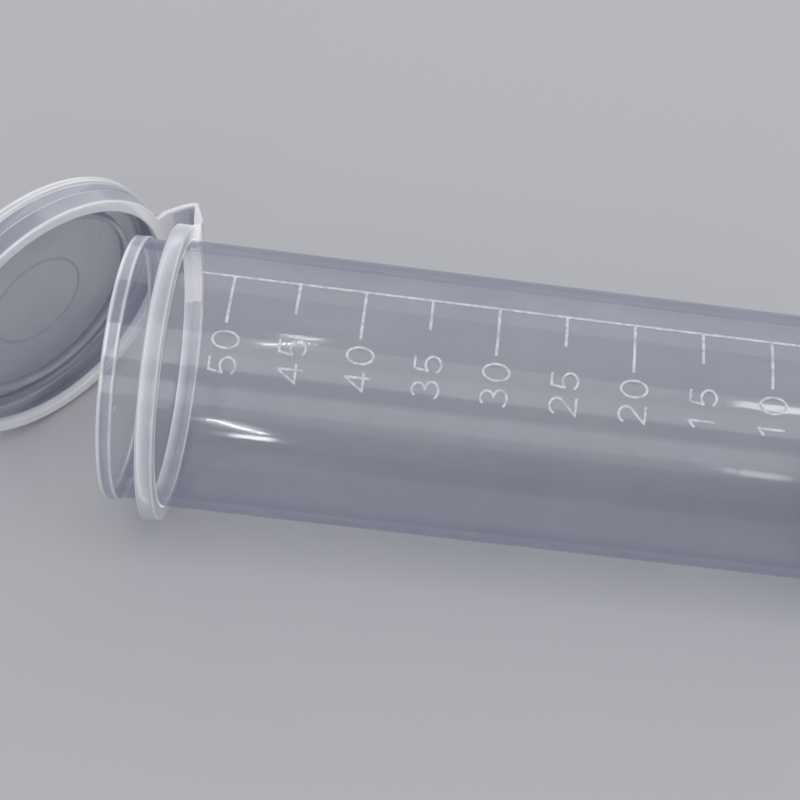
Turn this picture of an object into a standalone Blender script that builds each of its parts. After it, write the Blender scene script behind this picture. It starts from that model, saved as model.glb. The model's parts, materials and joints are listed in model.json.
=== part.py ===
"""A 50 mL flat-bottomed sample tube with a rack collar and a lid on a folding strap.

The tube is drawn upright first, base on z = 0 and mouth up, with the strap on its +X side. An empty
then lays the whole assembly on its side on the floor, as a tube lies on a bench, with the lid ajar.
"""
import math

import bmesh
import bpy
from mathutils import Vector

MM = 0.001

# Tube. Radii at the mouth; the mould's draft narrows them towards the base.
LENGTH = 90.3 * MM
MOUTH_RADIUS = 15.8 * MM
WALL = 1.05 * MM
DRAFT = 0.0055                    # radius lost for each unit of length below the mouth
BASE_THICKNESS = 1.1 * MM
BASE_CORNER = 2.0 * MM
BORE_CORNER = 1.5 * MM

# Neck above the collar, with the bead that the lid snaps over.
NECK_RADIUS = 15.35 * MM
BEAD_RADIUS = 15.65 * MM
BEAD_HEIGHT = 1.6 * MM
BEAD_ROUNDING = 0.3 * MM

# Collar that hangs the tube in a rack. Its step is measured down from the mouth.
COLLAR_RADIUS = 17.5 * MM
COLLAR_TOP = 4.7 * MM
COLLAR_THICKNESS = 2.0 * MM
COLLAR_EDGE = 0.25 * MM

# Lid.
LID_RADIUS = 17.5 * MM
LID_SKIRT_RADIUS = 17.3 * MM
LID_BORE_RADIUS = 16.05 * MM
LID_PLATE = 1.1 * MM
LID_GAP = 0.3 * MM                # between the plate and the mouth when it is shut
LID_RIM_DEPTH = 3.67 * MM         # how far below the mouth the rim reaches when it is shut
LID_EDGE = 0.35 * MM
SEAL_RADIUS = 13.6 * MM
SEAL_WALL = 0.8 * MM
SEAL_HEIGHT = 1.1 * MM
TAB_WIDTH = 11.0 * MM
TAB_REACH = 2.6 * MM              # beyond the lid's edge
TAB_THICKNESS = 1.2 * MM

# Strap: two leaves that fold at three thin lines. Each fold takes a fixed share of the lid's turn.
STRAP_WIDTH = 12.6 * MM
ROOT_RADIUS = 18.0 * MM           # root fold, from the tube's axis
ROOT_DEPTH = 5.55 * MM            # root fold, below the mouth
LOWER_LENGTH = 2.6 * MM
UPPER_LENGTH = 3.2 * MM
LOWER_THICKNESS = 0.9 * MM
UPPER_THICKNESS = 0.6 * MM
ROOT_SHARE = 0.05
MIDDLE_SHARE = 0.76
LID_SHARE = 1 - ROOT_SHARE - MIDDLE_SHARE
FLAT_TO_SHUT = math.radians(180)  # from the strap lying flat to the lid shut
OPEN_AT_REST = math.radians(40.6)

# Printed scale: a line along the tube and a tick at every 5 mL.
SCALE_ANGLE = math.radians(-77.4)  # round the tube, from the strap
SCALE_TOP = 9.3 * MM
SCALE_BOTTOM = 82.0 * MM
LINE_WIDTH = 0.35 * MM
LONG_TICK = math.radians(24.8)
SHORT_TICK = math.radians(16.6)
TICK_STEP = math.radians(4.15)
PRINT_THICKNESS = 0.12 * MM
PRINT_GAP = 0.08 * MM
MARKS_ML = range(5, 55, 5)

# How the tube lies: the strap points level, and the collar and the base's edge touch the floor.
SPIN = math.radians(90)

GAP = 0.3 * MM                    # left between pieces that are moulded as one
SMALL_GAP = 0.1 * MM
TURN_STEPS = 72
ARC_STEPS = 4
MERGE = 0.00001


# ---------------------------------------------------------------- helpers

def clear_scene():
    for thing in list(bpy.data.objects):
        bpy.data.objects.remove(thing, do_unlink=True)


def make_collection(name):
    collection = bpy.data.collections.new(name)
    bpy.context.scene.collection.children.link(collection)
    return collection


def make_material(name, colour, roughness, alpha=1.0):
    material = bpy.data.materials.new(name)
    material.use_nodes = True
    shader = material.node_tree.nodes["Principled BSDF"]
    shader.inputs["Base Color"].default_value = (*colour, 1)
    shader.inputs["Roughness"].default_value = roughness
    shader.inputs["Metallic"].default_value = 0.0
    shader.inputs["Alpha"].default_value = alpha
    material.diffuse_color = (*colour, alpha)
    return material


def add_object(name, mesh, material, parent, collection):
    thing = bpy.data.objects.new(name, mesh)
    collection.objects.link(thing)
    thing.parent = parent
    if material:
        mesh.materials.append(material)
    return thing


def add_empty(name, parent, location=(0, 0, 0)):
    empty = bpy.data.objects.new(name, None)
    empty.empty_display_size = 5 * MM
    empty.parent = parent
    empty.location = location
    parts.objects.link(empty)
    return empty


def arc(centre, radius, start, end, steps=ARC_STEPS):
    """Points of an arc in the (radius, height) plane, angles in degrees."""
    angles = [math.radians(start + (end - start) * i / steps) for i in range(steps + 1)]
    return [(centre[0] + radius * math.cos(a), centre[1] + radius * math.sin(a)) for a in angles]


def turned(name, profile, material, parent, collection, closed=False, steps=TURN_STEPS):
    """A profile of (radius, height) points turned about the local Z axis."""
    mesh = bpy.data.meshes.new(name)
    edges = [(i, i + 1) for i in range(len(profile) - 1)]
    if closed:
        edges.append((len(profile) - 1, 0))
    mesh.from_pydata([(r, 0, z) for r, z in profile], edges, [])
    thing = add_object(name, mesh, material, parent, collection)
    screw = thing.modifiers.new("turn", "SCREW")
    screw.steps = steps
    screw.render_steps = steps
    screw.use_merge_vertices = True
    screw.merge_threshold = MERGE
    return thing


def block(name, low, high, material, parent, collection):
    """A box between two corners."""
    bm = bmesh.new()
    bmesh.ops.create_cube(bm, size=1)
    size = Vector(high) - Vector(low)
    middle = (Vector(high) + Vector(low)) / 2
    bmesh.ops.scale(bm, vec=size, verts=bm.verts)
    bmesh.ops.translate(bm, vec=middle, verts=bm.verts)
    mesh = bpy.data.meshes.new(name)
    bm.to_mesh(mesh)
    bm.free()
    return add_object(name, mesh, material, parent, collection)


def boolean(thing, other, operation):
    """Join or cut a piece with a hidden guide shape."""
    other.hide_render = True
    other.display_type = "WIRE"
    modifier = thing.modifiers.new(operation.lower(), "BOOLEAN")
    modifier.operation = operation
    modifier.solver = "EXACT"
    modifier.object = other


def soften(thing, width, segments=2):
    modifier = thing.modifiers.new("edges", "BEVEL")
    modifier.width = width
    modifier.segments = segments
    modifier.limit_method = "ANGLE"


# ---------------------------------------------------------------- measures of the tube

def outer_radius(depth):
    """Barrel radius at a depth below the mouth."""
    return MOUTH_RADIUS - DRAFT * depth


def bore_radius(depth):
    return outer_radius(depth) - WALL


def mark_depth(millilitres):
    """Depth below the mouth at which the tube, filled from its base, holds this much."""
    floor_depth = LENGTH - BASE_THICKNESS
    corner_loss = 2 * math.pi * bore_radius(floor_depth) * (1 - math.pi / 4) * BORE_CORNER ** 2
    volume = millilitres * 1e-6 + corner_loss
    floor_radius = bore_radius(floor_depth)
    level_radius = (floor_radius ** 3 + 3 * DRAFT * volume / math.pi) ** (1 / 3)
    return floor_depth - (level_radius - floor_radius) / DRAFT


def leaf_direction(fold):
    """A leaf's direction as (radius, height), for a fold turned up from lying flat."""
    return Vector((math.cos(fold), math.sin(fold)))


def shut_lid_fold():
    """Where the lid's fold line ends when the lid is shut, as (radius, height)."""
    root = Vector((ROOT_RADIUS, LENGTH - ROOT_DEPTH))
    middle = root + LOWER_LENGTH * leaf_direction(ROOT_SHARE * FLAT_TO_SHUT)
    return middle + UPPER_LENGTH * leaf_direction((ROOT_SHARE + MIDDLE_SHARE) * FLAT_TO_SHUT)


# ---------------------------------------------------------------- pieces that stay still

def make_tube_body(parent):
    """Barrel, flat base, neck and bead as one turned wall, bore first and then down the outside."""
    floor = BASE_THICKNESS
    bore_at_floor = bore_radius(LENGTH - floor)
    step = LENGTH - COLLAR_TOP - COLLAR_THICKNESS / 2
    bead_bottom = LENGTH - BEAD_HEIGHT
    bead_slope = BEAD_RADIUS - NECK_RADIUS
    profile = [(0, floor)]
    profile += arc((bore_at_floor - BORE_CORNER, floor + BORE_CORNER), BORE_CORNER, -90, 0)
    profile += [(bore_radius(0), LENGTH)]
    profile += arc((BEAD_RADIUS - BEAD_ROUNDING, LENGTH - BEAD_ROUNDING), BEAD_ROUNDING, 90, 0)
    profile += [(BEAD_RADIUS, bead_bottom), (NECK_RADIUS, bead_bottom - bead_slope)]
    profile += [(NECK_RADIUS, step), (outer_radius(LENGTH - step), step)]
    corner_centre = (outer_radius(LENGTH - BASE_CORNER) - BASE_CORNER, BASE_CORNER)
    profile += arc(corner_centre, BASE_CORNER, 0, -90)
    profile += [(0, 0)]
    return turned("tube_body", profile, plastic, parent, parts)


def make_rack_collar(parent):
    """Flange round the neck, squared off on the strap's side so that the root fold is straight."""
    top = LENGTH - COLLAR_TOP
    bottom = top - COLLAR_THICKNESS
    inner = MOUTH_RADIUS + GAP
    outer = COLLAR_RADIUS
    edge = COLLAR_EDGE
    profile = [(inner, bottom), (inner, top)]
    profile += [(outer - edge, top), (outer, top - edge), (outer, bottom + edge), (outer - edge, bottom)]
    collar = turned("rack_collar", profile, plastic, parent, parts, closed=True)
    half = STRAP_WIDTH / 2
    reach = ROOT_RADIUS - GAP / 2
    low = (inner + GAP, -half, bottom + edge)
    high = (reach, half, LENGTH - ROOT_DEPTH)
    lug = block("collar_lug", low, high, None, parent, guides)
    boolean(collar, lug, "UNION")
    return collar


def make_graduation_scale(parent):
    """Printed line with its ticks, as one thin sheet wrapped on the barrel."""
    half = LINE_WIDTH / 2
    ticks = {mark_depth(ml): (LONG_TICK if ml % 10 == 0 else SHORT_TICK) for ml in MARKS_ML}
    depths = [SCALE_TOP]
    reaches = []
    for depth in sorted(ticks):
        depths += [depth - half, depth + half]
        reaches += [0, ticks[depth]]
    depths.append(SCALE_BOTTOM)
    reaches.append(0)
    line_turn = LINE_WIDTH / MOUTH_RADIUS
    columns = round(LONG_TICK / TICK_STEP)
    turns = [0, line_turn] + [LONG_TICK * (i + 1) / columns for i in range(columns)]
    bm = bmesh.new()
    grid = {}

    def corner(row, column):
        if (row, column) not in grid:
            radius = outer_radius(depths[row]) + PRINT_GAP
            angle = SCALE_ANGLE - turns[column]
            place = (radius * math.cos(angle), radius * math.sin(angle), LENGTH - depths[row])
            grid[row, column] = bm.verts.new(place)
        return grid[row, column]

    for row, reach in enumerate(reaches):
        for column in range(len(turns) - 1):
            if column == 0 or turns[column + 1] <= reach + TICK_STEP / 2:
                cells = [(row, column), (row, column + 1), (row + 1, column + 1), (row + 1, column)]
                bm.faces.new([corner(*cell) for cell in cells])
    bmesh.ops.recalc_face_normals(bm, faces=bm.faces)
    outward = [f for f in bm.faces if f.normal.dot(Vector((*f.calc_center_median().xy, 0))) < 0]
    bmesh.ops.reverse_faces(bm, faces=outward)
    mesh = bpy.data.meshes.new("graduation_scale")
    bm.to_mesh(mesh)
    bm.free()
    scale = add_object("graduation_scale", mesh, ink, parent, parts)
    solidify = scale.modifiers.new("ink", "SOLIDIFY")
    solidify.thickness = PRINT_THICKNESS
    solidify.offset = 1
    return scale


# ---------------------------------------------------------------- strap and lid

def make_leaf(name, length, thickness, parent):
    """One leaf of the strap: it lies along local +X from its fold line, below local z = 0."""
    half = STRAP_WIDTH / 2
    inset = GAP / 2
    leaf = block(name, (inset, -half, -thickness), (length - inset, half, 0), plastic, parent, parts)
    soften(leaf, 0.12 * MM)
    return leaf


def make_lid_cap(parent, fold_radius, fold_height):
    """Lid, opening up: plate and skirt turned about its own axis, with a straight lug for the strap."""
    axis = add_empty("lid_axis", parent, (fold_radius, 0, fold_height))
    height = LID_RIM_DEPTH + LID_GAP + LID_PLATE
    floor = LID_PLATE - height
    bottom = -height
    edge = LID_EDGE
    profile = [(0, floor), (LID_BORE_RADIUS - edge, floor), (LID_BORE_RADIUS, floor + edge)]
    profile += [(LID_BORE_RADIUS, -edge), (LID_BORE_RADIUS + edge / 2, 0)]
    profile += [(LID_SKIRT_RADIUS - edge / 2, 0), (LID_SKIRT_RADIUS, -edge / 2)]
    profile += [(LID_SKIRT_RADIUS, floor), (LID_RADIUS, floor - (LID_RADIUS - LID_SKIRT_RADIUS))]
    profile += arc((LID_RADIUS - edge, bottom + edge), edge, 0, -90, 2)
    profile += [(0, bottom)]
    lid = turned("lid_cap", profile, plastic, axis, parts)
    half = STRAP_WIDTH / 2
    inner = (LID_BORE_RADIUS + LID_SKIRT_RADIUS) / 2
    low = (-fold_radius + GAP / 2, -half, -fold_height - UPPER_THICKNESS - edge)
    high = (-inner, half, -fold_height)
    lug = block("lid_lug", low, high, None, axis, guides)
    boolean(lid, lug, "UNION")
    return lid, axis, floor


def make_seal_ring(axis, floor):
    """Thin ring under the plate that centres the lid in the bore."""
    base = floor + SMALL_GAP
    top = floor + SEAL_HEIGHT
    inner = SEAL_RADIUS - SEAL_WALL
    lead = SEAL_WALL / 3
    profile = [(inner, base), (inner, top), (SEAL_RADIUS - lead, top), (SEAL_RADIUS, top - lead)]
    profile += [(SEAL_RADIUS, base)]
    return turned("lid_seal_ring", profile, plastic, axis, parts, closed=True)


def make_thumb_tab(axis, floor):
    """Lip opposite the strap that a thumb lifts: a rounded plate cut to the lid's curve."""
    radius = TAB_WIDTH / 2
    bm = bmesh.new()
    bmesh.ops.create_cone(bm, cap_ends=True, segments=40, radius1=radius, radius2=radius,
                          depth=TAB_THICKNESS)
    mesh = bpy.data.meshes.new("lid_thumb_tab")
    bm.to_mesh(mesh)
    bm.free()
    tab = add_object("lid_thumb_tab", mesh, plastic, axis, parts)
    tab.location = (LID_RADIUS + TAB_REACH - radius, 0, floor - LID_PLATE + TAB_THICKNESS / 2)
    round_cut = [(0, LID_PLATE), (LID_RADIUS + GAP / 2, LID_PLATE), (LID_RADIUS + GAP / 2, -2 * LID_PLATE)]
    round_cut += [(0, -2 * LID_PLATE)]
    cutter = turned("tab_cutter", round_cut, None, axis, guides)
    cutter.location = (0, 0, floor)
    boolean(tab, cutter, "DIFFERENCE")
    return tab


def make_strap_and_lid(parent):
    """Chain of folds: collar, lower leaf, upper leaf, lid. Each empty lies on its fold line."""
    at_rest = FLAT_TO_SHUT - OPEN_AT_REST
    root_fold = add_empty("root_fold", parent, (ROOT_RADIUS, 0, LENGTH - ROOT_DEPTH))
    root_fold.rotation_euler.y = -ROOT_SHARE * at_rest
    make_leaf("hinge_leaf_lower", LOWER_LENGTH, LOWER_THICKNESS, root_fold)
    middle_fold = add_empty("middle_fold", root_fold, (LOWER_LENGTH, 0, 0))
    middle_fold.rotation_euler.y = -MIDDLE_SHARE * at_rest
    make_leaf("hinge_leaf_upper", UPPER_LENGTH, UPPER_THICKNESS, middle_fold)
    lid_fold = add_empty("lid_fold", middle_fold, (UPPER_LENGTH, 0, 0))
    lid_fold.rotation_euler.y = -LID_SHARE * at_rest
    shut = shut_lid_fold()
    rim_above_fold = shut.y - (LENGTH - LID_RIM_DEPTH)
    lid, axis, floor = make_lid_cap(lid_fold, shut.x, rim_above_fold)
    make_seal_ring(axis, floor)
    make_thumb_tab(axis, floor)


# ---------------------------------------------------------------- laying it down

def world_box():
    """Lowest and highest corners of all the parts as they are evaluated."""
    depsgraph = bpy.context.evaluated_depsgraph_get()
    points = []
    for thing in parts.objects:
        if thing.type == "MESH":
            evaluated = thing.evaluated_get(depsgraph)
            points += [evaluated.matrix_world @ v.co for v in evaluated.data.vertices]
    low = Vector([min(p[i] for p in points) for i in range(3)])
    high = Vector([max(p[i] for p in points) for i in range(3)])
    return low, high


def lay_down(pose):
    """Turn the upright tube onto its side, base to +X, and centre it on the floor."""
    corner_depth = LENGTH - BASE_CORNER
    collar_depth = COLLAR_TOP + COLLAR_THICKNESS - COLLAR_EDGE
    drop = COLLAR_RADIUS - outer_radius(corner_depth)
    tilt = math.atan(drop / (corner_depth - collar_depth))
    pose.rotation_mode = "ZYX"
    pose.rotation_euler = (0, tilt - math.radians(90), SPIN)
    low, high = world_box()
    pose.location = (-(low.x + high.x) / 2, -(low.y + high.y) / 2, -low.z)


clear_scene()
parts = make_collection("sample_tube")
guides = make_collection("guides")
plastic = make_material("polypropylene", (0.80, 0.81, 0.84), 0.35, 0.55)
ink = make_material("white_ink", (0.92, 0.92, 0.92), 0.6)
resting_pose = add_empty("resting_pose", None)
make_tube_body(resting_pose)
make_rack_collar(resting_pose)
make_graduation_scale(resting_pose)
make_strap_and_lid(resting_pose)
lay_down(resting_pose)
for item in list(parts.objects) + list(guides.objects):
    if item.type == "MESH":
        item.data.shade_smooth()
        item.data.set_sharp_from_angle(angle=math.radians(35))
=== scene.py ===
"""Looks for a 50 mL flat-bottomed sample tube of natural polypropylene with a hinged snap lid.

Shapes are drawn in millimetres in two frames. The tube's frame is upright: base on z = 0, mouth up,
strap towards +X. The lid's frame has its origin at the centre of the rim, +Z out of the opening and
+X away from the strap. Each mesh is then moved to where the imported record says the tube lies.
"""
import json
import math

import bmesh
import bpy
import numpy as np
from mathutils import Matrix, Vector


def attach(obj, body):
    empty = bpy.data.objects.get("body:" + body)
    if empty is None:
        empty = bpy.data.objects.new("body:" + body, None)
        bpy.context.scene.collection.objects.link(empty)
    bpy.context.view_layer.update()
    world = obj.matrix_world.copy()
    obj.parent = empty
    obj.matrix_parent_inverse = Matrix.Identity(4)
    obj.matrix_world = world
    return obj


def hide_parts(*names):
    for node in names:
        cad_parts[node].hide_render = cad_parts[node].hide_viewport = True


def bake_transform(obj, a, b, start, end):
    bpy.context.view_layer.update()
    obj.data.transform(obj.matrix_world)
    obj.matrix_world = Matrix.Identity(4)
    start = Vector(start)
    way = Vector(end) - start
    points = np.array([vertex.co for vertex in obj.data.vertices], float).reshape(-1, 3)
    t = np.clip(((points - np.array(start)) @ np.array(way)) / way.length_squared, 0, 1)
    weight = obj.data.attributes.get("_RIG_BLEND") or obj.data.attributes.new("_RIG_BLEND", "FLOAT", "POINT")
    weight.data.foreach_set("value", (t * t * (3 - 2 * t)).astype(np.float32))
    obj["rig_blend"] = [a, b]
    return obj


MM = 0.001
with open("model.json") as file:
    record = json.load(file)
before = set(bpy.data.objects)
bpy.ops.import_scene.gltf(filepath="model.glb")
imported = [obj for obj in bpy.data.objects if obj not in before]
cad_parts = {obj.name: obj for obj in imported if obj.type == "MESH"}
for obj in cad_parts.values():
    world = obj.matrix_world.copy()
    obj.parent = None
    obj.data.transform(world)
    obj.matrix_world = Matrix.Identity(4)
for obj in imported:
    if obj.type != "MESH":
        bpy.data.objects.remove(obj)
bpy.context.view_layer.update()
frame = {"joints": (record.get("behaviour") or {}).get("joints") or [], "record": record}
record = frame["record"]

# ---------------------------------------------------------------- the part's dimensions, in mm

LENGTH = 90.3
MOUTH_RADIUS = 15.8
WALL = 1.05
DRAFT = 0.0055
BASE_THICKNESS = 1.1
BASE_CORNER = 2.0
BORE_CORNER = 1.5
NECK_RADIUS = 15.35
BEAD_RADIUS = 15.65
BEAD_HEIGHT = 1.6
COLLAR_RADIUS = 17.495
COLLAR_TOP = 4.7
COLLAR_THICKNESS = 2.0
COLLAR_EDGE = 0.25                # rounding of the collar's outer corners
LID_RADIUS = 17.5
LID_SKIRT_RADIUS = 17.3
LID_BORE_RADIUS = 16.05
SNAP_RADIUS = 15.8                # ridge inside the rim that catches the tube's bead
LID_WAIST = 0.08                  # depth of the step round the skirt below the rim
LID_PLATE = 1.1
LID_HEIGHT = 5.07
SEAL_RADIUS = 13.6
SEAL_WALL = 0.8
SEAL_HEIGHT = 1.1
TAB_WIDTH = 11.0
TAB_REACH = 2.6
TAB_THICKNESS = 1.2
TAB_EDGE = 0.3
STRAP_WIDTH = 12.6
LUG_HALF_ANGLE = 23.4             # half the strap's width, seen from the tube's axis, degrees
ROOT_HALF_ANGLE = 19.5            # the same for the thick root behind the collar
ROOT_RADIUS = 18.0
ROOT_DEPTH = 5.55
LOWER_LENGTH = 2.6
LOWER_THICKNESS = (1.2, 0.5)      # at the root and at the middle fold
UPPER_LENGTH = 3.2
UPPER_THICKNESS = (0.6, 0.55)     # at the middle fold and at the lid's
LEAF_EDGE = 0.14
LUG_THICKNESS = 0.95              # strap's end where it meets the lid's rim
LID_END_LIFT = 0.3                # the upper leaf curves by this much towards the rim at its end
FOLD_SHARES = (0.05, 0.76, 0.19)  # how the root, middle and lid folds share the lid's turn
FLAT_TO_SHUT = 180.0
OPEN_AT_REST = 40.6
FOLD_GAP = 0.15                   # between a fold's axis and the leaves beside it
LID_RIM_DEPTH = 3.67
MARKS = range(5, 55, 5)           # millilitres
SCALE_ANGLE = -77.4               # of the line's edge, round the tube from the strap, degrees
SCALE_TOP = 9.3
SCALE_BOTTOM = 82.0
LINE_WIDTH = 0.35
TICK_WIDTH = 0.32
LONG_TICK = 24.8                  # degrees round the tube
SHORT_TICK = 16.6

# Numerals: round the tube from the strap, first and second digit, in degrees.
DIGIT_ANGLES = (-119.7, -109.3)
DIGIT_HEIGHT = 3.15
DIGIT_WIDTH = 2.3
DIGIT_STROKE = 0.27
DIGIT_SHIFT = -0.2
INK_LIFT = 0.01
INK_THICKNESS = 0.03

SEGMENTS = 288
SHARP_ANGLE = 38                  # edges bent by more than this are shaded sharp, degrees
HAIR = 0.02                       # clearance between pieces that are moulded as one
SHY = 0.01                        # how far the outermost faces stay inside the CAD's


# ---------------------------------------------------------------- frames

def mount(name):
    return next(m for m in record["mounts"] if m["name"] == name)


def tube_frame():
    """The upright tube's frame in the world, in mm, from the base's mount and the strap's root fold."""
    base = mount("base_face")
    down = Vector(base["axis"]).normalized()
    origin = Vector(base["pos_m"])
    fold = next(j for j in frame["joints"] if j["name"] == "strap_root_fold")
    to_fold = Vector(fold["pos_m"]) - origin
    x = (to_fold - to_fold.dot(down) * down).normalized()
    z = -down
    y = z.cross(x)
    turn = Matrix((x, y, z)).transposed().to_4x4()
    return Matrix.Translation(origin) @ turn @ Matrix.Scale(MM, 4)


def fold_frames():
    """Frames of the three folds and of the lid's rim, in the tube's frame, as a chain."""
    turned = math.radians(FLAT_TO_SHUT - OPEN_AT_REST)
    flat = math.radians(FLAT_TO_SHUT)
    root = Matrix.Translation((ROOT_RADIUS, 0, LENGTH - ROOT_DEPTH))
    root = root @ Matrix.Rotation(-FOLD_SHARES[0] * turned, 4, "Y")
    middle = root @ Matrix.Translation((LOWER_LENGTH, 0, 0))
    middle = middle @ Matrix.Rotation(-FOLD_SHARES[1] * turned, 4, "Y")
    lid_fold = middle @ Matrix.Translation((UPPER_LENGTH, 0, 0))
    lid_fold = lid_fold @ Matrix.Rotation(-FOLD_SHARES[2] * turned, 4, "Y")
    lower = FOLD_SHARES[0] * flat
    upper = (FOLD_SHARES[0] + FOLD_SHARES[1]) * flat
    shut_x = ROOT_RADIUS + LOWER_LENGTH * math.cos(lower) + UPPER_LENGTH * math.cos(upper)
    shut_z = LENGTH - ROOT_DEPTH + LOWER_LENGTH * math.sin(lower) + UPPER_LENGTH * math.sin(upper)
    rim = lid_fold @ Matrix.Translation((shut_x, 0, shut_z - (LENGTH - LID_RIM_DEPTH)))
    return root, middle, lid_fold, rim


TUBE = tube_frame()
ROOT, MIDDLE, LID_FOLD, RIM = fold_frames()
LID_FOLD_IN_LID = RIM.inverted() @ LID_FOLD @ Vector((0, 0, 0))


# ---------------------------------------------------------------- mesh helpers

def rounded(corners, closed=False, steps=6):
    """Corners (a, b, rounding, thick) of a section as points (a, b, thick), rounded off."""
    points = []
    count = len(corners)
    for i, (a, b, rounding, thick) in enumerate(corners):
        here = Vector((a, b))
        if rounding == 0 or (not closed and i in (0, count - 1)):
            points.append((a, b, thick))
            continue
        back = (Vector(corners[i - 1][:2]) - here).normalized()
        on = (Vector(corners[(i + 1) % count][:2]) - here).normalized()
        half_angle = back.angle(on) / 2
        centre = here + (back + on).normalized() * (rounding / math.sin(half_angle))
        start = here + back * (rounding / math.tan(half_angle)) - centre
        end = here + on * (rounding / math.tan(half_angle)) - centre
        sweep = start.angle_signed(end)
        for k in range(steps + 1):
            turn = Matrix.Rotation(-sweep * k / steps, 2)
            points.append((*(centre + turn @ start), thick))
    return points


def finish_piece(name, mesh, place, material, body=None, replaces=()):
    """Move a mesh to the world, shade it, and tie its object to the frame."""
    mesh.transform(place)
    mesh.materials.append(material)
    mesh.shade_smooth()
    mesh.set_sharp_from_angle(angle=math.radians(SHARP_ANGLE))
    piece = bpy.data.objects.new(name, mesh)
    bpy.context.scene.collection.objects.link(piece)
    if body:
        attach(piece, body)
    if replaces:
        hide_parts(*replaces)
    return piece


def set_thick(mesh, values, name="thick"):
    """Store a number per point: by default how milky it looks, 0 a thin wall and 1 a thick edge."""
    layer = mesh.attributes.new(name, "FLOAT", "POINT")
    layer.data.foreach_set("value", np.asarray(values, np.float32))


def mesh_from(name, points, faces, thick=None):
    mesh = bpy.data.meshes.new(name)
    mesh.from_pydata(points, [], faces)
    bm = bmesh.new()
    bm.from_mesh(mesh)
    bmesh.ops.recalc_face_normals(bm, faces=bm.faces)
    bm.to_mesh(mesh)
    bm.free()
    if thick is not None:
        set_thick(mesh, thick)
    return mesh


def turned_mesh(name, section, closed=False, segments=SEGMENTS):
    """A section of (radius, height, thick) points turned about the Z axis."""
    points, faces, thick, rows = [], [], [], []
    for radius, height, value in section:
        if radius < 1e-6:
            rows.append([len(points)] * segments)
            points.append((0, 0, height))
            thick.append(value)
            continue
        rows.append(list(range(len(points), len(points) + segments)))
        for k in range(segments):
            angle = 2 * math.pi * k / segments
            points.append((radius * math.cos(angle), radius * math.sin(angle), height))
            thick.append(value)
    pairs = list(zip(rows, rows[1:]))
    if closed:
        pairs.append((rows[-1], rows[0]))
    for low, high in pairs:
        for k in range(segments):
            after = (k + 1) % segments
            face = [low[k], low[after], high[after], high[k]]
            faces.append(list(dict.fromkeys(face)))
    return mesh_from(name, points, faces, thick)


def lofted_mesh(name, rings, thick):
    """Rings of points joined in order and capped at both ends."""
    size = len(rings[0])
    points = [p for ring in rings for p in ring]
    faces = []
    for i in range(len(rings) - 1):
        for k in range(size):
            after = (k + 1) % size
            faces.append([i * size + k, i * size + after, (i + 1) * size + after, (i + 1) * size + k])
    last = (len(rings) - 1) * size
    faces.append(list(range(size)))
    faces.append(list(range(last, last + size)))
    return mesh_from(name, points, faces, thick)


def strap_mesh(name, section, half_width, edge, place):
    """A (x, z, thick) section drawn across the strap, with softened, milkier ends."""
    outline = np.array([(x, z) for x, z, _ in section])
    centre = np.mean(outline, axis=0)
    shrink = 1 - 2 * edge / np.maximum(np.max(outline, axis=0) - np.min(outline, axis=0), 4 * edge)
    full = np.array([1, 1])
    ends = []
    for k in range(4):
        angle = math.radians(30 * k)
        out = half_width - edge * (1 - math.cos(angle))
        ends.append((out, full - (full - shrink) * (1 - math.sin(angle)), 1.0))
    ends.append((half_width - 2.2 * edge, full, 0.8))
    ends.append((half_width - 4.5 * edge, full, 0.0))
    rows = ends + [(-y, size, mark) for y, size, mark in reversed(ends)]
    rings, thick = [], []
    for y, size, mark in rows:
        ring = []
        for x, z, value in section:
            px, pz = centre + (np.array([x, z]) - centre) * size
            ring.append((px, y, pz))
            thick.append(max(value, mark))
        rings.append(ring)
    mesh = lofted_mesh(name, rings, thick)
    mesh.transform(place)
    return mesh


def joined(name, first, second):
    """Union of two meshes. Its points need new milkiness values, so the old ones are dropped."""
    objects = []
    for mesh in (first, second):
        thing = bpy.data.objects.new(name + "_part", mesh)
        bpy.context.scene.collection.objects.link(thing)
        objects.append(thing)
    union = objects[0].modifiers.new("union", "BOOLEAN")
    union.operation = "UNION"
    union.solver = "EXACT"
    union.object = objects[1]
    bpy.context.view_layer.update()
    depsgraph = bpy.context.evaluated_depsgraph_get()
    mesh = bpy.data.meshes.new_from_object(objects[0].evaluated_get(depsgraph))
    mesh.name = name
    for thing in objects:
        bpy.data.objects.remove(thing)
    for layer in [a for a in mesh.attributes if a.name == "thick"]:
        mesh.attributes.remove(layer)
    return mesh


def block_mesh(name, low, high, edge):
    bm = bmesh.new()
    bmesh.ops.create_cube(bm, size=1)
    bmesh.ops.scale(bm, vec=Vector(high) - Vector(low), verts=bm.verts)
    bmesh.ops.translate(bm, vec=(Vector(high) + Vector(low)) / 2, verts=bm.verts)
    bmesh.ops.bevel(bm, geom=bm.edges, offset=edge, segments=4, profile=0.5, affect="EDGES")
    mesh = bpy.data.meshes.new(name)
    bm.to_mesh(mesh)
    bm.free()
    return mesh


def smooth_step(value, low, high):
    t = min(max((value - low) / (high - low), 0), 1)
    return t * t * (3 - 2 * t)


# ---------------------------------------------------------------- materials

def node(tree, kind, **settings):
    made = tree.nodes.new(kind)
    for key, value in settings.items():
        setattr(made, key, value)
    return made


def remap(tree, source, low, high, out_low, out_high):
    made = node(tree, "ShaderNodeMapRange")
    tree.links.new(source, made.inputs["Value"])
    for key, value in (("From Min", low), ("From Max", high), ("To Min", out_low), ("To Max", out_high)):
        made.inputs[key].default_value = value
    return made.outputs["Result"]


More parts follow.
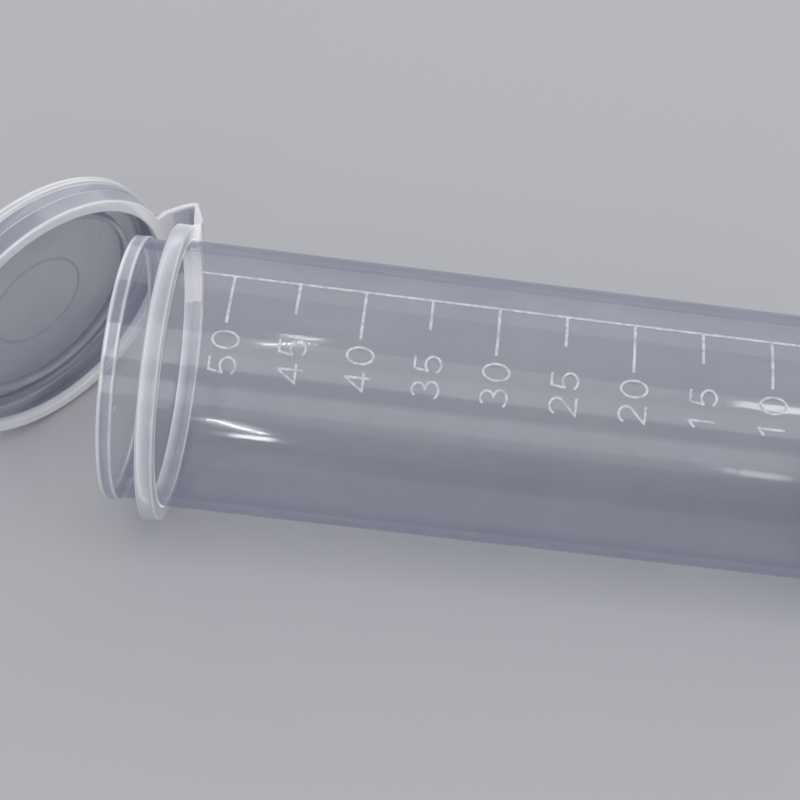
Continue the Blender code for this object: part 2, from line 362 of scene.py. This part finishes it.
def noise(tree, coordinates, scale, detail=2.0, stretch=(1, 1, 1)):
    mapping = node(tree, "ShaderNodeMapping")
    mapping.inputs["Scale"].default_value = stretch
    tree.links.new(coordinates, mapping.inputs["Vector"])
    made = node(tree, "ShaderNodeTexNoise")
    made.inputs["Scale"].default_value = scale
    made.inputs["Detail"].default_value = detail
    tree.links.new(mapping.outputs["Vector"], made.inputs["Vector"])
    return made.outputs["Fac"]


def arithmetic(tree, operation, a, b=0.0, clamp=False):
    made = node(tree, "ShaderNodeMath", operation=operation, use_clamp=clamp)
    for socket, value in zip(made.inputs, (a, b)):
        if isinstance(value, (int, float)):
            socket.default_value = value
        else:
            tree.links.new(value, socket)
    return made.outputs[0]


def see_through(tree, haze, thin, thick):
    """How solid a wall looks. Haze builds up with the length of the path through the wall."""
    optical = arithmetic(tree, "MULTIPLY", arithmetic(tree, "POWER", thick / thin, haze), thin)
    facing = node(tree, "ShaderNodeLayerWeight").outputs["Facing"]
    cosine = arithmetic(tree, "MAXIMUM", arithmetic(tree, "SUBTRACT", 1.0, facing), 0.22)
    path = arithmetic(tree, "DIVIDE", optical, cosine)
    passed = arithmetic(tree, "EXPONENT", arithmetic(tree, "MULTIPLY", path, -1.0))
    return arithmetic(tree, "SUBTRACT", 1.0, passed, clamp=True)


def polypropylene(name, thin, thick, haze_thin, haze_thick, ior, gloss=0.16, painted_glow=None):
    """Milky translucent plastic. Thin walls let light through; thick edges look near white.

    The glow argument is the colour of a painted glow: emission standing in for light that scatters inside a
    thick, cloudy section, painted on its shaded faces where the mesh's own glow attribute is 1.
    """
    material = bpy.data.materials.new(name)
    material.use_nodes = True
    tree = material.node_tree
    shader = tree.nodes["Principled BSDF"]
    shader.inputs["IOR"].default_value = ior
    place = node(tree, "ShaderNodeTexCoord").outputs["Object"]
    depth = node(tree, "ShaderNodeAttribute", attribute_name="thick").outputs["Fac"]
    cloud = noise(tree, place, 90, 3)
    ripple = noise(tree, place, 190, 3, stretch=(0.35, 1, 1))
    drift = remap(tree, cloud, 0.3, 0.7, -0.05, 0.05)
    haze = arithmetic(tree, "ADD", depth, drift, clamp=True)
    colour = node(tree, "ShaderNodeMix", data_type="RGBA")
    colour.inputs["A"].default_value = (*thin, 1)
    colour.inputs["B"].default_value = (*thick, 1)
    tree.links.new(arithmetic(tree, "POWER", haze, 3.0), colour.inputs["Factor"])
    tree.links.new(colour.outputs["Result"], shader.inputs["Base Color"])
    tree.links.new(see_through(tree, haze, haze_thin, haze_thick), shader.inputs["Alpha"])
    rough = remap(tree, cloud, 0.3, 0.7, gloss * 0.8, gloss * 1.3)
    tree.links.new(rough, shader.inputs["Roughness"])
    # Painted glow: emission, set per point by the glow attribute, makes shaded faces bright though no lamp
    # lights them.
    if painted_glow:
        painted_emission = node(tree, "ShaderNodeMix", data_type="RGBA")
        painted_emission.inputs["A"].default_value = (0, 0, 0, 1)
        painted_emission.inputs["B"].default_value = (*painted_glow, 1)
        share = node(tree, "ShaderNodeAttribute", attribute_name="painted_glow").outputs["Fac"]
        tree.links.new(share, painted_emission.inputs["Factor"])
        tree.links.new(painted_emission.outputs["Result"], shader.inputs["Emission Color"])
        shader.inputs["Emission Strength"].default_value = 1.0
    bump = node(tree, "ShaderNodeBump")
    bump.inputs["Strength"].default_value = 0.25
    bump.inputs["Distance"].default_value = 0.00003
    tree.links.new(ripple, bump.inputs["Height"])
    tree.links.new(bump.outputs["Normal"], shader.inputs["Normal"])
    return material


def ink_material():
    material = bpy.data.materials.new("white_print")
    material.use_nodes = True
    tree = material.node_tree
    shader = tree.nodes["Principled BSDF"]
    shader.inputs["Roughness"].default_value = 0.5
    place = node(tree, "ShaderNodeTexCoord").outputs["Object"]
    wear = noise(tree, place, 1500, 4)
    ramp = node(tree, "ShaderNodeMix", data_type="RGBA")
    ramp.inputs["A"].default_value = (0.54, 0.54, 0.60, 1)
    ramp.inputs["B"].default_value = (0.82, 0.82, 0.86, 1)
    tree.links.new(remap(tree, wear, 0.35, 0.6, 0, 1), ramp.inputs["Factor"])
    tree.links.new(ramp.outputs["Result"], shader.inputs["Base Color"])
    return material


def floor_material():
    material = bpy.data.materials.new("floor")
    material.use_nodes = True
    tree = material.node_tree
    shader = tree.nodes["Principled BSDF"]
    shader.inputs["Base Color"].default_value = (0.60, 0.60, 0.615, 1)
    shader.inputs["Roughness"].default_value = 0.35
    return material


# Thin wall's colour, thick edge's colour, and the haze of each.
BODY_PLASTIC = polypropylene(
    "pp_wall", (0.115, 0.135, 0.285), (0.95, 0.94, 0.96), 0.02, 3.5, ior=2.8, gloss=0.06)
# The collar's last colour is a cream painted glow, emission standing in for light scattered in its thick
# root.
COLLAR_PLASTIC = polypropylene(
    "pp_collar", (0.46, 0.48, 0.57), (0.78, 0.77, 0.77), 0.42, 3.0, ior=1.8, painted_glow=(1.0, 0.975, 0.95))
STRAP_PLASTIC = polypropylene(
    "pp_strap", (0.60, 0.62, 0.72), (0.98, 0.97, 0.97), 0.2, 3.0, ior=1.8)
LID_PLASTIC = polypropylene(
    "pp_lid", (0.21, 0.235, 0.34), (0.97, 0.96, 0.97), 0.17, 3.5, ior=2.2, gloss=0.11)
INK = ink_material()


# ---------------------------------------------------------------- measures of the tube

def outer_radius(depth):
    return MOUTH_RADIUS - DRAFT * depth


def bore_radius(depth):
    return outer_radius(depth) - WALL


def mark_depth(millilitres):
    """Depth below the mouth at which the tube, filled from its base, holds this much."""
    floor_depth = LENGTH - BASE_THICKNESS
    floor_radius = bore_radius(floor_depth)
    corner_loss = 2 * math.pi * floor_radius * (1 - math.pi / 4) * BORE_CORNER ** 2
    volume = millilitres * 1000 + corner_loss
    level_radius = (floor_radius ** 3 + 3 * DRAFT * volume / math.pi) ** (1 / 3)
    return floor_depth - (level_radius - floor_radius) / DRAFT


# ---------------------------------------------------------------- tube and collar

def make_tube_wall():
    floor = BASE_THICKNESS
    collar_end = COLLAR_TOP + COLLAR_THICKNESS
    step = LENGTH - COLLAR_TOP - COLLAR_THICKNESS / 2
    bead_bottom = LENGTH - BEAD_HEIGHT
    slope = BEAD_RADIUS - NECK_RADIUS
    barrel = outer_radius(LENGTH - step)
    section = rounded([
        (0, floor, 0, 0.2),
        (bore_radius(LENGTH - floor), floor, BORE_CORNER, 0.35),
        (bore_radius(LENGTH - floor - 4), floor + 4, 0, 0),
        (bore_radius(collar_end), LENGTH - collar_end, 0, 0.05),
        (bore_radius(1.0), LENGTH - 1.0, 0, 0.15),
        (bore_radius(0), LENGTH, 0.3, 0.95),
        (BEAD_RADIUS, LENGTH, 0.3, 1.0),
        (BEAD_RADIUS, LENGTH - 0.6, 0, 0.72),
        (BEAD_RADIUS, bead_bottom + 0.3, 0, 0.72),
        (BEAD_RADIUS, bead_bottom, 0.1, 0.95),
        (NECK_RADIUS, bead_bottom - slope, 0.2, 0.55),
        (NECK_RADIUS, step + 1.3, 0, 0.5),
        (NECK_RADIUS, step, 0, 0.5),
        (barrel, step, 0, 0.5),
        (outer_radius(8), LENGTH - 8, 0, 0.45),
        (outer_radius(LENGTH - 4), 4, 0, 0.46),
        (outer_radius(LENGTH), SHY, BASE_CORNER, 0.6),
        (outer_radius(LENGTH) - 3.5, SHY, 0, 0.45),
        (0, SHY, 0, 0.42),
    ], steps=8)
    mesh = turned_mesh("tube_wall", section)
    finish_piece("tube_wall", mesh, TUBE, BODY_PLASTIC, "tube", ["tube_body"])


def collar_look(x, y, z, middle, bore):
    """Milkiness and painted glow of the collar at a point: milky edges, and painted glow (emission, not
    lamplight) that brightens the root at the strap and the shaded inner faces.
    """
    radius = math.hypot(x, y)
    from_strap = abs(math.degrees(math.atan2(y, x)))
    # Each return is (milkiness, painted glow); the root at the strap gets the strongest painted glow, the
    # inner faces a middling one.
    if radius > bore and from_strap < LUG_HALF_ANGLE:
        return 1.0, 0.2
    if from_strap < ROOT_HALF_ANGLE:
        return 1.0, 0.72
    if radius < bore:
        edge = smooth_step(abs(z - middle), 0.7, 0.95)
        return 0.25 + 0.6 * edge, 0.3 + 0.3 * edge
    value = max(0.35, smooth_step(abs(z - middle), 0.62, 0.86))
    value = max(value, 0.8 * smooth_step(from_strap, 60, 25))
    if radius < COLLAR_RADIUS - 0.05:
        value = max(value, 0.75)
    return value, 0.04 + 0.36 * smooth_step(from_strap, 65, 30)


def make_collar():
    top = LENGTH - COLLAR_TOP
    bottom = top - COLLAR_THICKNESS
    step = top - COLLAR_THICKNESS / 2
    low_inner = outer_radius(LENGTH - bottom) + HAIR
    high_inner = NECK_RADIUS + HAIR
    section = rounded([
        (low_inner, bottom, 0, 0),
        (low_inner, bottom + 0.25, 0, 0),
        (low_inner, step + HAIR, 0, 0),
        (high_inner, step + HAIR, 0, 0),
        (high_inner, top + 0.12, 0, 0),
        (high_inner + 0.12, top, 0.1, 0),
        (COLLAR_RADIUS, top, COLLAR_EDGE, 0),
        *[(COLLAR_RADIUS, step - side, 0, 0) for side in (-0.6, -0.4, 0, 0.4, 0.6)],
        (COLLAR_RADIUS, bottom, COLLAR_EDGE, 0),
        (low_inner + 0.25, bottom, 0, 0),
    ], closed=True)
    ring = turned_mesh("collar_ring", section, closed=True)
    half = STRAP_WIDTH / 2
    low = (low_inner + 0.3, -half, bottom + 0.1)
    high = (ROOT_RADIUS - FOLD_GAP, half, LENGTH - ROOT_DEPTH)
    mesh = joined("collar", ring, block_mesh("lug", low, high, 0.22))
    looks = [collar_look(*vertex.co, step, high_inner + 0.6) for vertex in mesh.vertices]
    set_thick(mesh, [value for value, _ in looks])
    # How strongly each point shows the painted glow, an emission that stands in for scattered light.
    set_thick(mesh, [painted_glow for _, painted_glow in looks], "painted_glow")
    finish_piece("rack_collar_ring", mesh, TUBE, COLLAR_PLASTIC, "tube", ["rack_collar"])


# ---------------------------------------------------------------- print

def on_barrel(angle, height, lift):
    """Point on the barrel: angle in degrees round from the strap, height above the base."""
    radius = outer_radius(LENGTH - height) + lift
    turn = math.radians(angle)
    return (radius * math.cos(turn), radius * math.sin(turn), height)


def make_scale_print():
    """Line and ticks as one thin sheet wrapped on the barrel."""
    half = TICK_WIDTH / 2
    ticks = sorted((mark_depth(ml), LONG_TICK if ml % 10 == 0 else SHORT_TICK) for ml in MARKS)
    heights, reaches = [LENGTH - SCALE_TOP], []
    for depth, reach in ticks:
        heights += [LENGTH - depth + half, LENGTH - depth - half]
        reaches += [0, reach]
    heights.append(LENGTH - SCALE_BOTTOM)
    reaches.append(0)
    line = math.degrees(LINE_WIDTH / MOUTH_RADIUS)
    columns = 24
    offsets = [0, line] + [line + (LONG_TICK - line) * (i + 1) / columns for i in range(columns)]
    short_columns = round(columns * (SHORT_TICK - line) / (LONG_TICK - line))
    points, faces, first, border = [], [], {}, {}

    def corner(row, column):
        """The lower of two points, on the barrel and above it, at a corner of the grid."""
        if (row, column) not in first:
            first[row, column] = len(points)
            for lift in (INK_LIFT, INK_LIFT + INK_THICKNESS):
                points.append(on_barrel(SCALE_ANGLE - offsets[column], heights[row], lift))
        return first[row, column]

    for row, reach in enumerate(reaches):
        last = 1
        if reach == LONG_TICK:
            last += columns
        elif reach == SHORT_TICK:
            last += short_columns
        for column in range(last):
            cells = [(row, column), (row, column + 1), (row + 1, column + 1), (row + 1, column)]
            under = [corner(*cell) for cell in cells]
            faces.append(under)
            faces.append([point + 1 for point in reversed(under)])
            for a, b in zip(under, under[1:] + under[:1]):
                if (b, a) in border:
                    del border[b, a]
                else:
                    border[a, b] = True
    faces += [[a, b, b + 1, a + 1] for a, b in border]
    mesh = mesh_from("scale_print", points, faces)
    finish_piece("scale_print", mesh, TUBE, INK, "tube", ["graduation_scale"])


def bow(cx, cy, rx, ry, start, end, steps=14):
    """Points of an elliptical arc, angles in degrees."""
    angles = [math.radians(start + (end - start) * i / steps) for i in range(steps + 1)]
    return [(cx + rx * math.cos(a), cy + ry * math.sin(a)) for a in angles]


# Strokes of each digit in a box 1 wide and 1 high.
DIGITS = {
    "0": [bow(0.5, 0.5, 0.42, 0.46, 90, 450, 36)],
    "1": [[(0.22, 0.74), (0.56, 0.96), (0.56, 0.04)]],
    "2": [bow(0.48, 0.70, 0.38, 0.26, 165, -28) + [(0.08, 0.04), (0.92, 0.04)]],
    "3": [bow(0.46, 0.74, 0.34, 0.225, 150, -90), bow(0.46, 0.28, 0.43, 0.235, 90, -152)],
    "4": [[(0.66, 0.96), (0.04, 0.30), (0.96, 0.30)], [(0.66, 0.90), (0.66, 0.04)]],
    "5": [[(0.86, 0.96), (0.24, 0.96), (0.14, 0.50)] + bow(0.48, 0.31, 0.42, 0.27, 138, -150)],
}


def stroke_ring(points, looped, index, width):
    """Both edges of a stroke at one of its points, mitred."""
    here = Vector(points[index])
    last = len(points) - 1
    before = Vector(points[index - 1]) if index or looped else None
    after = Vector(points[(index + 1) % len(points)]) if index < last or looped else None
    ins = (here - before).normalized() if before else (after - here).normalized()
    out = (after - here).normalized() if after else ins
    along = ins + out
    along = along.normalized() if along.length > 0.3 else out
    side = Vector((-along.y, along.x))
    reach = width / 2 / max(side.dot(Vector((-ins.y, ins.x))), 0.55)
    return here + side * reach, here - side * reach


def make_numerals():
    points, faces = [], []

    def add_stroke(stroke, angle, height):
        flat = [((u - 0.5) * DIGIT_WIDTH, (v - 0.5) * DIGIT_HEIGHT) for u, v in stroke]
        looped = (Vector(flat[0]) - Vector(flat[-1])).length < 1e-4
        if looped:
            flat = flat[:-1]
        else:
            flat = densified(flat)
        start = len(points)
        for index in range(len(flat)):
            for edge in stroke_ring(flat, looped, index, DIGIT_STROKE):
                turn = angle + math.degrees(edge.x / MOUTH_RADIUS)
                for lift in (INK_LIFT, INK_LIFT + INK_THICKNESS):
                    points.append(on_barrel(turn, height + edge.y, lift))
        count = len(flat)
        for index in range(count if looped else count - 1):
            a = start + index * 4
            b = start + (index + 1) % count * 4
            for one, two in ((0, 1), (1, 3), (3, 2), (2, 0)):
                faces.append([a + one, a + two, b + two, b + one])
        if not looped:
            end = start + (count - 1) * 4
            faces.append([start, start + 2, start + 3, start + 1])
            faces.append([end, end + 1, end + 3, end + 2])

    for ml in MARKS:
        text = str(ml)
        angles = DIGIT_ANGLES if len(text) == 2 else DIGIT_ANGLES[1:]
        height = LENGTH - mark_depth(ml) + DIGIT_SHIFT
        for digit, angle in zip(text, angles):
            for stroke in DIGITS[digit]:
                add_stroke(stroke, angle, height)
    mesh = mesh_from("scale_numerals", points, faces)
    finish_piece("scale_numerals", mesh, TUBE, INK, "tube", ())


def densified(flat, longest=0.4):
    """Points added along straight strokes so that they follow the barrel's curve."""
    out = [flat[0]]
    for a, b in zip(flat, flat[1:]):
        gap = (Vector(b) - Vector(a)).length
        pieces = max(1, math.ceil(gap / longest))
        for k in range(1, pieces + 1):
            out.append(tuple(Vector(a).lerp(Vector(b), k / pieces)))
    return out


# ---------------------------------------------------------------- strap

def leaf_section(length, start_thickness, end_thickness, end_lift=0.0):
    """A leaf from its first fold to its second, tapering, its far end curving up by end_lift."""
    shares = (0.21, 0.35, 0.5, 0.65, 0.79)
    clear = [(length * share, 0, 0.33) for share in shares]
    face = [(FOLD_GAP, 0.08, 0.9), *clear, (length - FOLD_GAP, 0.08, 0.9)]
    corners = [(x, 0, rounding, thick) for x, rounding, thick in face]
    for x, rounding, thick in reversed(face):
        share = x / length
        thickness = start_thickness + (end_thickness - start_thickness) * share
        corners.append((x, -thickness, rounding, thick))
    lifted = []
    for x, z, rounding, thick in corners:
        lift = end_lift * smooth_step(x, 0.3 * length, 1.1 * length)
        lifted.append((x, z + lift, rounding, thick))
    return rounded(lifted, closed=True, steps=3)


def make_leaves():
    half = STRAP_WIDTH / 2
    section = leaf_section(LOWER_LENGTH, *LOWER_THICKNESS)
    lower = strap_mesh("lower_leaf", section, half, LEAF_EDGE, ROOT)
    finish_piece("strap_lower_leaf", lower, TUBE, STRAP_PLASTIC, "lower_leaf", ["hinge_leaf_lower"])
    section = leaf_section(UPPER_LENGTH, *UPPER_THICKNESS, LID_END_LIFT)
    upper = strap_mesh("upper_leaf", section, half, LEAF_EDGE, MIDDLE)
    finish_piece("strap_upper_leaf", upper, TUBE, STRAP_PLASTIC, "upper_leaf", ["hinge_leaf_upper"])


def film_section(first, first_thick, second, second_thick, lift, steps=8):
    """Web round a fold line, in the tube's XZ plane: inside of the bend flat, outside a fan."""
    points = []

    def local(frame_, x, z):
        p = frame_ @ Vector((x, 0, z))
        return Vector((p.x, p.z))

    centre = (local(first, 0, lift) + local(second, 0, lift)) / 2
    start = local(first, -FOLD_GAP - HAIR, lift - first_thick) - centre
    end = local(second, FOLD_GAP + HAIR, lift - second_thick) - centre
    inner_start = local(first, -FOLD_GAP - HAIR, lift - 0.04)
    inner_end = local(second, FOLD_GAP + HAIR, lift - 0.04)
    sweep = start.angle_signed(end)
    for k in range(steps + 1):
        share = k / steps
        length = start.length * (1 - share) + end.length * share
        turn = Matrix.Rotation(-sweep * share, 2)
        points.append((*(centre + (turn @ start).normalized() * length), 0.9))
    points.append((*inner_end, 0.9))
    points.append((*inner_start, 0.9))
    return points


def make_films():
    half = STRAP_WIDTH / 2 - 0.03
    root_bend = FOLD_SHARES[0] * math.radians(FLAT_TO_SHUT - OPEN_AT_REST)
    before_root = ROOT @ Matrix.Rotation(root_bend, 4, "Y")
    before_middle = ROOT @ Matrix.Translation((LOWER_LENGTH, 0, 0))
    before_lid = MIDDLE @ Matrix.Translation((UPPER_LENGTH, 0, 0))
    webs = [
        ("strap_root_web", "tube", "lower_leaf", before_root, 0.95, ROOT, 1.1, 0.0),
        ("strap_middle_web", "lower_leaf", "upper_leaf", before_middle, 0.5, MIDDLE, 0.56, 0.0),
        ("strap_lid_web", "upper_leaf", "lid", before_lid, 0.5, LID_FOLD, 0.55, LID_END_LIFT),
    ]
    for name, first, second, frame_a, thick_a, frame_b, thick_b, lift in webs:
        section = film_section(frame_a, thick_a, frame_b, thick_b, lift)
        mesh = strap_mesh(name, section, half, 0.1, Matrix.Identity(4))
        web = finish_piece(name, mesh, TUBE, STRAP_PLASTIC)
        start = TUBE @ (frame_a @ Vector((-FOLD_GAP, 0, -0.25)))
        end = TUBE @ (frame_b @ Vector((FOLD_GAP, 0, -0.25)))
        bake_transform(web, first, second, start=tuple(start), end=tuple(end))


# ---------------------------------------------------------------- lid

def make_lid():
    floor = LID_PLATE - LID_HEIGHT
    bottom = -LID_HEIGHT
    section = rounded([
        (0, floor, 0, 0.05),
        (6.0, floor, 0, 0.05),
        (6.3, floor + 0.05, 0, 0.45),
        (6.6, floor, 0, 0.05),
        (LID_BORE_RADIUS - 1.2, floor, 0, 0.1),
        (LID_BORE_RADIUS, floor, 0.4, 0.6),
        (LID_BORE_RADIUS, floor + 1.2, 0, 0.2),
        (LID_BORE_RADIUS, -1.3, 0.1, 0.5),
        (SNAP_RADIUS, -0.9, 0.1, 0.95),
        (SNAP_RADIUS, 0, 0.25, 1.0),
        (LID_SKIRT_RADIUS, 0, 0.2, 1.0),
        (LID_SKIRT_RADIUS, -0.5, 0, 0.66),
        (LID_SKIRT_RADIUS, -2.2, 0, 0.62),
        (LID_SKIRT_RADIUS, -2.35, 0, 0.85),
        (LID_SKIRT_RADIUS - LID_WAIST, -2.5, 0, 0.58),
        (LID_SKIRT_RADIUS - LID_WAIST, floor + 0.35, 0, 0.62),
        (LID_SKIRT_RADIUS - LID_WAIST, floor, 0.15, 0.9),
        (LID_RADIUS - SHY, floor, 0.12, 1.0),
        (LID_RADIUS - SHY, floor - 0.4, 0, 0.85),
        (LID_RADIUS - SHY, bottom, 0.35, 1.0),
        (LID_RADIUS - 1.2, bottom, 0, 0.2),
        (0, bottom, 0, 0.05),
    ], steps=5)
    shell = turned_mesh("lid_shell", section)
    mesh = joined("lid_shell", shell, lid_lug_mesh())
    set_thick(mesh, [lid_thick(*v.co, section) for v in mesh.vertices])
    finish_piece("lid_shell", mesh, TUBE @ RIM, LID_PLASTIC, "lid", ["lid_cap"])


def lid_lug_mesh():
    """Web from the strap's fold to the rim, as wide as the strap; it follows the skirt's curve."""
    fold_x, fold_z = LID_FOLD_IN_LID.x, LID_FOLD_IN_LID.z
    half = STRAP_WIDTH / 2
    inner = LID_SKIRT_RADIUS - 0.5
    rings = []
    for share in np.linspace(-1, 1, 21):
        y = share * half
        near, far = fold_x + FOLD_GAP, -math.sqrt(inner ** 2 - y ** 2)
        profile = rounded([
            (near, fold_z + LID_END_LIFT - 0.02, 0.1, 0),
            (far, -0.03, 0, 0),
            (far, -0.03 - LUG_THICKNESS, 0, 0),
            (near, fold_z + LID_END_LIFT - UPPER_THICKNESS[0], 0.15, 0),
        ], closed=True, steps=4)
        rings.append([(x, y, z) for x, z, _ in profile])
    return lofted_mesh("lid_lug", rings, None)


def lid_thick(x, y, z, section):
    """Milkiness of the nearest point of the turned section, and full at the strap's lug."""
    radius = math.hypot(x, y)
    near = min(section, key=lambda p: (p[0] - radius) ** 2 + (p[1] - z) ** 2)
    on_lug = x < 0 and abs(y) < STRAP_WIDTH / 2 + 0.01 and z > -2
    if on_lug and radius > LID_SKIRT_RADIUS + 0.05:
        return 1.0
    return near[2]


def make_seal_ring():
    floor = LID_PLATE - LID_HEIGHT
    inner = SEAL_RADIUS - SEAL_WALL
    section = rounded([
        (inner, floor + HAIR, 0, 0.4),
        (inner, floor + SEAL_HEIGHT, 0.15, 0.7),
        (SEAL_RADIUS - 0.15, floor + SEAL_HEIGHT, 0.2, 0.7),
        (SEAL_RADIUS, floor + HAIR, 0, 0.4),
    ], closed=True)
    mesh = turned_mesh("seal_ring", section, closed=True)
    finish_piece("lid_plug_ring", mesh, TUBE @ RIM, LID_PLASTIC, "lid", ["lid_seal_ring"])


def make_thumb_tab():
    """Rounded lip opposite the strap, a crescent that follows the lid's edge."""
    radius = TAB_WIDTH / 2
    centre = LID_RADIUS + TAB_REACH - radius
    inner = LID_RADIUS + HAIR
    low, high = -LID_HEIGHT, -LID_HEIGHT + TAB_THICKNESS
    cross = (inner ** 2 - radius ** 2 + centre ** 2) / (2 * centre)
    half = math.sqrt(inner ** 2 - cross ** 2)
    top = math.atan2(half, cross - centre)
    side = math.atan2(half, cross)
    outline = [(centre + radius * math.cos(a), radius * math.sin(a)) for a in np.linspace(-top, top, 49)]
    outline += [(inner * math.cos(a), inner * math.sin(a)) for a in np.linspace(side, -side, 25)[1:-1]]
    middle = np.array([(inner + LID_RADIUS + TAB_REACH) / 2, 0])
    levels = []
    for angle in (0, 30, 60, 90):
        a = math.radians(angle)
        levels.append((TAB_EDGE * (1 - math.sin(a)), low + TAB_EDGE * (1 - math.cos(a))))
    levels += [(inset, high - (z - low)) for inset, z in reversed(levels)]
    rings = []
    for inset, z in levels:
        ring = []
        for p in outline:
            away = np.array(p) - middle
            size = np.linalg.norm(away)
            q = middle + away * (size - inset) / size
            ring.append((q[0], q[1], z))
        rings.append(ring)
    mesh = lofted_mesh("thumb_tab", rings, [0.8] * (len(outline) * len(rings)))
    finish_piece("lid_thumb_lip", mesh, TUBE @ RIM, LID_PLASTIC, "lid", ["lid_thumb_tab"])


# ---------------------------------------------------------------- studio

CAMERA_TURN = -125.0              # round the tube from the strap, degrees
CAMERA_BELOW_MOUTH = 34.75        # along the tube, mm
CAMERA_DISTANCE = 209.3           # from the tube's axis, mm
CAMERA_AIM = (32.95, -0.06)       # aimed at: below the mouth, and off the axis, mm
CAMERA_ROLL = 6.83                # the tube runs down to the right, degrees
CAMERA_LENS = 79.8


def camera_directions():
    """Towards the tube's base, up in the picture, and towards the camera, in the tube's frame."""
    turn = math.radians(CAMERA_TURN)
    near = Vector((math.cos(turn), math.sin(turn), 0))
    along = Vector((0, 0, -1))
    return along, near.cross(along), near


def tube_point(below_mouth, up, near):
    along, up_axis, near_axis = camera_directions()
    return TUBE @ (Vector((0, 0, LENGTH)) + along * below_mouth + up_axis * up + near_axis * near)


def make_camera():
    eye = tube_point(CAMERA_BELOW_MOUTH, 0, CAMERA_DISTANCE)
    aim = tube_point(CAMERA_AIM[0], CAMERA_AIM[1], 0)
    along = (tube_point(1, 0, 0) - tube_point(0, 0, 0)).normalized()
    forward = (aim - eye).normalized()
    right = (along - along.dot(forward) * forward).normalized()
    right = Matrix.Rotation(math.radians(-CAMERA_ROLL), 3, forward) @ right
    up = right.cross(forward)
    data = bpy.data.cameras.new("camera")
    data.lens = CAMERA_LENS
    data.sensor_width = 36
    data.clip_start = 0.01
    data.clip_end = 10
    camera = bpy.data.objects.new("camera", data)
    bpy.context.scene.collection.objects.link(camera)
    camera.matrix_world = Matrix.Translation(eye) @ Matrix((right, up, -forward)).transposed().to_4x4()
    bpy.context.scene.camera = camera


def soft_box(name, turn, below_mouth, distance, size, power, colour=(1, 1, 1), twist=0):
    """Area light aimed at the tube. turn is degrees from the camera, up over the tube; size is in mm."""
    angle = math.radians(turn)
    place = tube_point(below_mouth, distance * math.sin(angle), distance * math.cos(angle))
    aim = tube_point(CAMERA_AIM[0], 0, 0)
    data = bpy.data.lights.new(name, "AREA")
    data.shape = "RECTANGLE"
    data.size, data.size_y = size[0] * MM, size[1] * MM
    data.energy = power
    data.color = colour
    lamp = bpy.data.objects.new(name, data)
    bpy.context.scene.collection.objects.link(lamp)
    along = (tube_point(1, 0, 0) - tube_point(0, 0, 0)).normalized()
    back = (place - aim).normalized()
    across = (along - along.dot(back) * back).normalized()
    across = Matrix.Rotation(math.radians(twist), 3, back) @ across
    turned = Matrix((across, back.cross(across), back)).transposed().to_4x4()
    lamp.matrix_world = Matrix.Translation(place) @ turned


def make_studio():
    bm = bmesh.new()
    bmesh.ops.create_grid(bm, x_segments=1, y_segments=1, size=6)
    mesh = bpy.data.meshes.new("floor")
    bm.to_mesh(mesh)
    bm.free()
    mesh.materials.append(floor_material())
    floor = bpy.data.objects.new("floor", mesh)
    bpy.context.scene.collection.objects.link(floor)
    world = bpy.data.worlds.new("studio")
    world.use_nodes = True
    bpy.context.scene.world = world
    background = world.node_tree.nodes["Background"]
    background.inputs["Color"].default_value = (0.92, 0.94, 1.0, 1)
    background.inputs["Strength"].default_value = 0.5
    # The small ones give the wall its sharp highlights.
    soft_box("key", 105, 0, 620, (1100, 640), 1.4, (1.0, 0.98, 0.96))
    soft_box("band", 21, 60, 420, (520, 220), 0.42, (0.97, 0.98, 1.0))
    soft_box("side", -16, 60, 420, (420, 110), 0.12, (0.92, 0.95, 1.0))
    soft_box("spark", -38.5, -20, 420, (2.5, 56), 0.024, twist=19)
    soft_box("spark_end", -46.5, -14, 420, (14, 24), 0.018)
    soft_box("spark_low", -72.5, -9, 420, (14, 40), 0.05)
    soft_box("glint", 30, 160, 420, (26, 40), 0.024)


make_tube_wall()
make_collar()
make_scale_print()
make_numerals()
make_leaves()
make_films()
make_lid()
make_seal_ring()
make_thumb_tab()
make_camera()
make_studio()
bpy.context.scene.view_settings.view_transform = "Standard"
